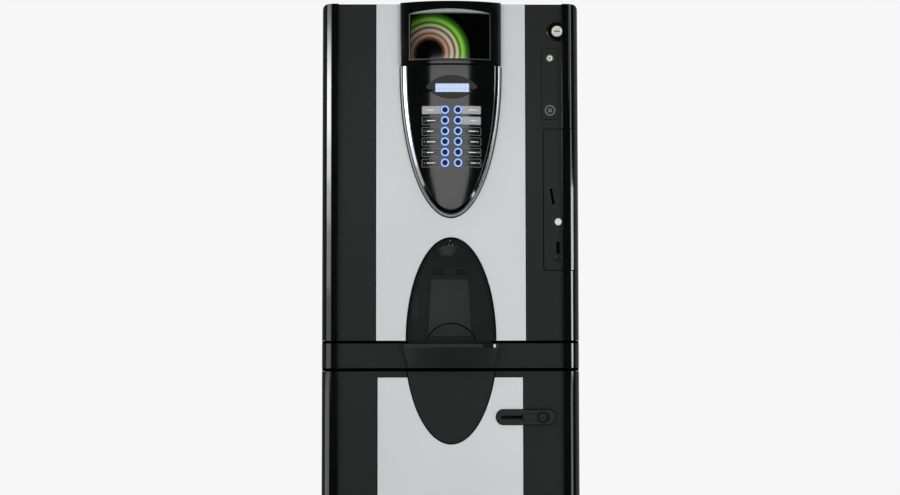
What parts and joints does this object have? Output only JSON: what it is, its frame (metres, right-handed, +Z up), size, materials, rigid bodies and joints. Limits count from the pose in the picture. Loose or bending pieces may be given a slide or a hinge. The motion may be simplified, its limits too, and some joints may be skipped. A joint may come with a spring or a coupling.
{
  "type": "coffee vending machine",
  "caption": "Free-standing bean-to-cup coffee machine: tall door with push buttons, display, coin slot and cup bay with a flap, on a base cabinet with its own door.",
  "frame": {"origin": "middle of the footprint, on the floor", "axes": "+Z up, +X to the right seen from the front, +Y to the back"},
  "size_m": [0.54, 0.58, 1.668],
  "materials": {
    "moulding_black": "glossy black pillars, satin black panels",
    "silver_sheet": "fine silver paint, half matt",
    "housing_black": "glossy",
    "screen_picture": "glossy window over a lit plain picture",
    "rim_chrome": "dark mirror bright",
    "display_blue": "light blue lit display",
    "button_blue": "dark centre with a lit blue ring",
    "frame_black": "fine matt",
    "flap_smoked": "smoked clear acrylic",
    "plate_graphite": "fine matt",
    "knob_black": "satin",
    "button_white": "glossy",
    "lock_steel": "bright",
    "sheet_black": "fine orange-peel black paint",
    "sheet_zinc": "plain zinc-coated sheet",
    "tray_black": "glossy front, satin trough",
    "grille_steel": "brushed",
    "works_grey": "fine matt",
    "works_white": "satin",
    "hopper_clear": "clear smoked tint",
    "boiler_brass": "plain",
    "motor_steel": "plain",
    "hose_clear": "milky soft tube",
    "foot_rubber": "matt"
  },
  "bodies": {
    "root": {"levelling_feet": "foot_rubber", "cabinet_carcass": "sheet_black", "casing_carcass": "sheet_black", "casing_top": "sheet_black", "band_moulding": "moulding_black", "fixed_hinges": "sheet_zinc", "bay_liner": "works_grey", "nozzle_head": "works_grey", "bean_hopper": "hopper_clear", "grinder": "works_grey", "brew_unit": "works_white", "boiler": "boiler_brass", "water_pump": "motor_steel", "air_break_tank": "works_white", "ingredient_canisters": "hopper_clear", "mixing_bowl": "works_white", "gear_motors": "motor_steel", "drink_hoses": "hose_clear", "power_box": "sheet_zinc", "waste_bin": "works_grey", "liquid_tank": "works_white", "cash_box": "sheet_zinc"},
    "upper_door_leaf": {"upper_door": "moulding_black", "centre_panel": "silver_sheet", "header_housing": "housing_black", "screen_panel": "screen_picture", "control_panel": "housing_black", "control_rim": "rim_chrome", "lcd_display": "display_blue", "bay_surround": "frame_black", "coin_plate": "plate_graphite", "coin_mechanism": "works_grey"},
    "cabinet_door_leaf": {"cabinet_door": "moulding_black", "cabinet_inlay": "silver_sheet", "cabinet_crest": "housing_black", "handle_plate": "frame_black"},
    "flap": {"bay_door": "flap_smoked"},
    "lock": {"door_lock": "lock_steel"},
    "coin_return_button": {"return_button": "button_white"},
    "coin_release_lever": {"return_lever": "knob_black"},
    "tray": {"drip_tray": "tray_black", "drip_grille": "grille_steel"},
    "handle": {"handle_lever": "knob_black"},
    "handle_key": {"handle_lock": "knob_black"},
    "piston": {"brew_piston": "works_white"},
    "auger_a": {"auger_left": "motor_steel"},
    "auger_b": {"auger_right": "motor_steel"},
    "mixer": {"whisk": "works_white"},
    "push_01": {"button_01": "button_blue"},
    "push_02": {"button_02": "button_blue"},
    "push_03": {"button_03": "button_blue"},
    "push_04": {"button_04": "button_blue"},
    "push_05": {"button_05": "button_blue"},
    "push_06": {"button_06": "button_blue"},
    "push_07": {"button_07": "button_blue"},
    "push_08": {"button_08": "button_blue"},
    "push_09": {"button_09": "button_blue"},
    "push_10": {"button_10": "button_blue"},
    "push_11": {"button_11": "button_blue"},
    "push_12": {"button_12": "button_blue"}
  },
  "joints": [
    {"name": "upper_door_hinge", "type": "hinge", "parent": "root", "child": "upper_door_leaf", "pos_m": [-0.2655, -0.221, 1.071], "axis": [0, 0, -1], "range_deg": [0, 100]},
    {"name": "cabinet_door_hinge", "type": "hinge", "parent": "root", "child": "cabinet_door_leaf", "pos_m": [-0.2655, -0.221, 0.156], "axis": [0, 0, -1], "range_deg": [0, 100]},
    {"name": "flap_hinge", "type": "hinge", "parent": "upper_door_leaf", "child": "flap", "pos_m": [0.001, -0.262, 1.165], "axis": [-1, 0, 0], "range_deg": [0, 55]},
    {"name": "lock_turn", "type": "hinge", "parent": "upper_door_leaf", "child": "lock", "pos_m": [0.2242, -0.25, 1.6103], "axis": [0, 1, 0], "range_deg": [0, 90]},
    {"name": "coin_return_press", "type": "slide", "parent": "upper_door_leaf", "child": "coin_return_button", "axis": [0, 1, 0], "range_m": [0, 0.003], "stiffness_N_per_m": 300},
    {"name": "coin_release_slide", "type": "slide", "parent": "upper_door_leaf", "child": "coin_release_lever", "axis": [0, 0, 1], "range_m": [0, 0.028]},
    {"name": "tray_slide", "type": "slide", "parent": "root", "child": "tray", "axis": [0, -1, 0], "range_m": [0, 0.15]},
    {"name": "handle_swing", "type": "hinge", "parent": "cabinet_door_leaf", "child": "handle", "pos_m": [0.1993, -0.266, 0.802], "axis": [0, 0, 1], "range_deg": [0, 40]},
    {"name": "handle_key_turn", "type": "hinge", "parent": "handle", "child": "handle_key", "pos_m": [0.1903, -0.268, 0.802], "axis": [0, 1, 0], "range_deg": [0, 90]},
    {"name": "piston_lift", "type": "slide", "parent": "root", "child": "piston", "axis": [0, 0, 1], "range_m": [0, 0.03]},
    {"name": "auger_a_turn", "type": "hinge", "parent": "root", "child": "auger_a", "pos_m": [0.075, -0.03, 1.444], "axis": [0, 1, 0], "continuous": true},
    {"name": "auger_b_turn", "type": "hinge", "parent": "root", "child": "auger_b", "pos_m": [0.187, -0.03, 1.444], "axis": [0, 1, 0], "continuous": true},
    {"name": "mixer_turn", "type": "hinge", "parent": "root", "child": "mixer", "pos_m": [0.131, -0.13, 1.33], "axis": [0, 1, 0], "continuous": true},
    {"name": "button_01_press", "type": "slide", "parent": "upper_door_leaf", "child": "push_01", "axis": [0, 1, 0], "range_m": [0, 0.002], "stiffness_N_per_m": 300},
    {"name": "button_02_press", "type": "slide", "parent": "upper_door_leaf", "child": "push_02", "axis": [0, 1, 0], "range_m": [0, 0.002], "stiffness_N_per_m": 300},
    {"name": "button_03_press", "type": "slide", "parent": "upper_door_leaf", "child": "push_03", "axis": [0, 1, 0], "range_m": [0, 0.002], "stiffness_N_per_m": 300},
    {"name": "button_04_press", "type": "slide", "parent": "upper_door_leaf", "child": "push_04", "axis": [0, 1, 0], "range_m": [0, 0.002], "stiffness_N_per_m": 300},
    {"name": "button_05_press", "type": "slide", "parent": "upper_door_leaf", "child": "push_05", "axis": [0, 1, 0], "range_m": [0, 0.002], "stiffness_N_per_m": 300},
    {"name": "button_06_press", "type": "slide", "parent": "upper_door_leaf", "child": "push_06", "axis": [0, 1, 0], "range_m": [0, 0.002], "stiffness_N_per_m": 300},
    {"name": "button_07_press", "type": "slide", "parent": "upper_door_leaf", "child": "push_07", "axis": [0, 1, 0], "range_m": [0, 0.002], "stiffness_N_per_m": 300},
    {"name": "button_08_press", "type": "slide", "parent": "upper_door_leaf", "child": "push_08", "axis": [0, 1, 0], "range_m": [0, 0.002], "stiffness_N_per_m": 300},
    {"name": "button_09_press", "type": "slide", "parent": "upper_door_leaf", "child": "push_09", "axis": [0, 1, 0], "range_m": [0, 0.002], "stiffness_N_per_m": 300},
    {"name": "button_10_press", "type": "slide", "parent": "upper_door_leaf", "child": "push_10", "axis": [0, 1, 0], "range_m": [0, 0.002], "stiffness_N_per_m": 300},
    {"name": "button_11_press", "type": "slide", "parent": "upper_door_leaf", "child": "push_11", "axis": [0, 1, 0], "range_m": [0, 0.002], "stiffness_N_per_m": 300},
    {"name": "button_12_press", "type": "slide", "parent": "upper_door_leaf", "child": "push_12", "axis": [0, 1, 0], "range_m": [0, 0.002], "stiffness_N_per_m": 300}
  ]
}
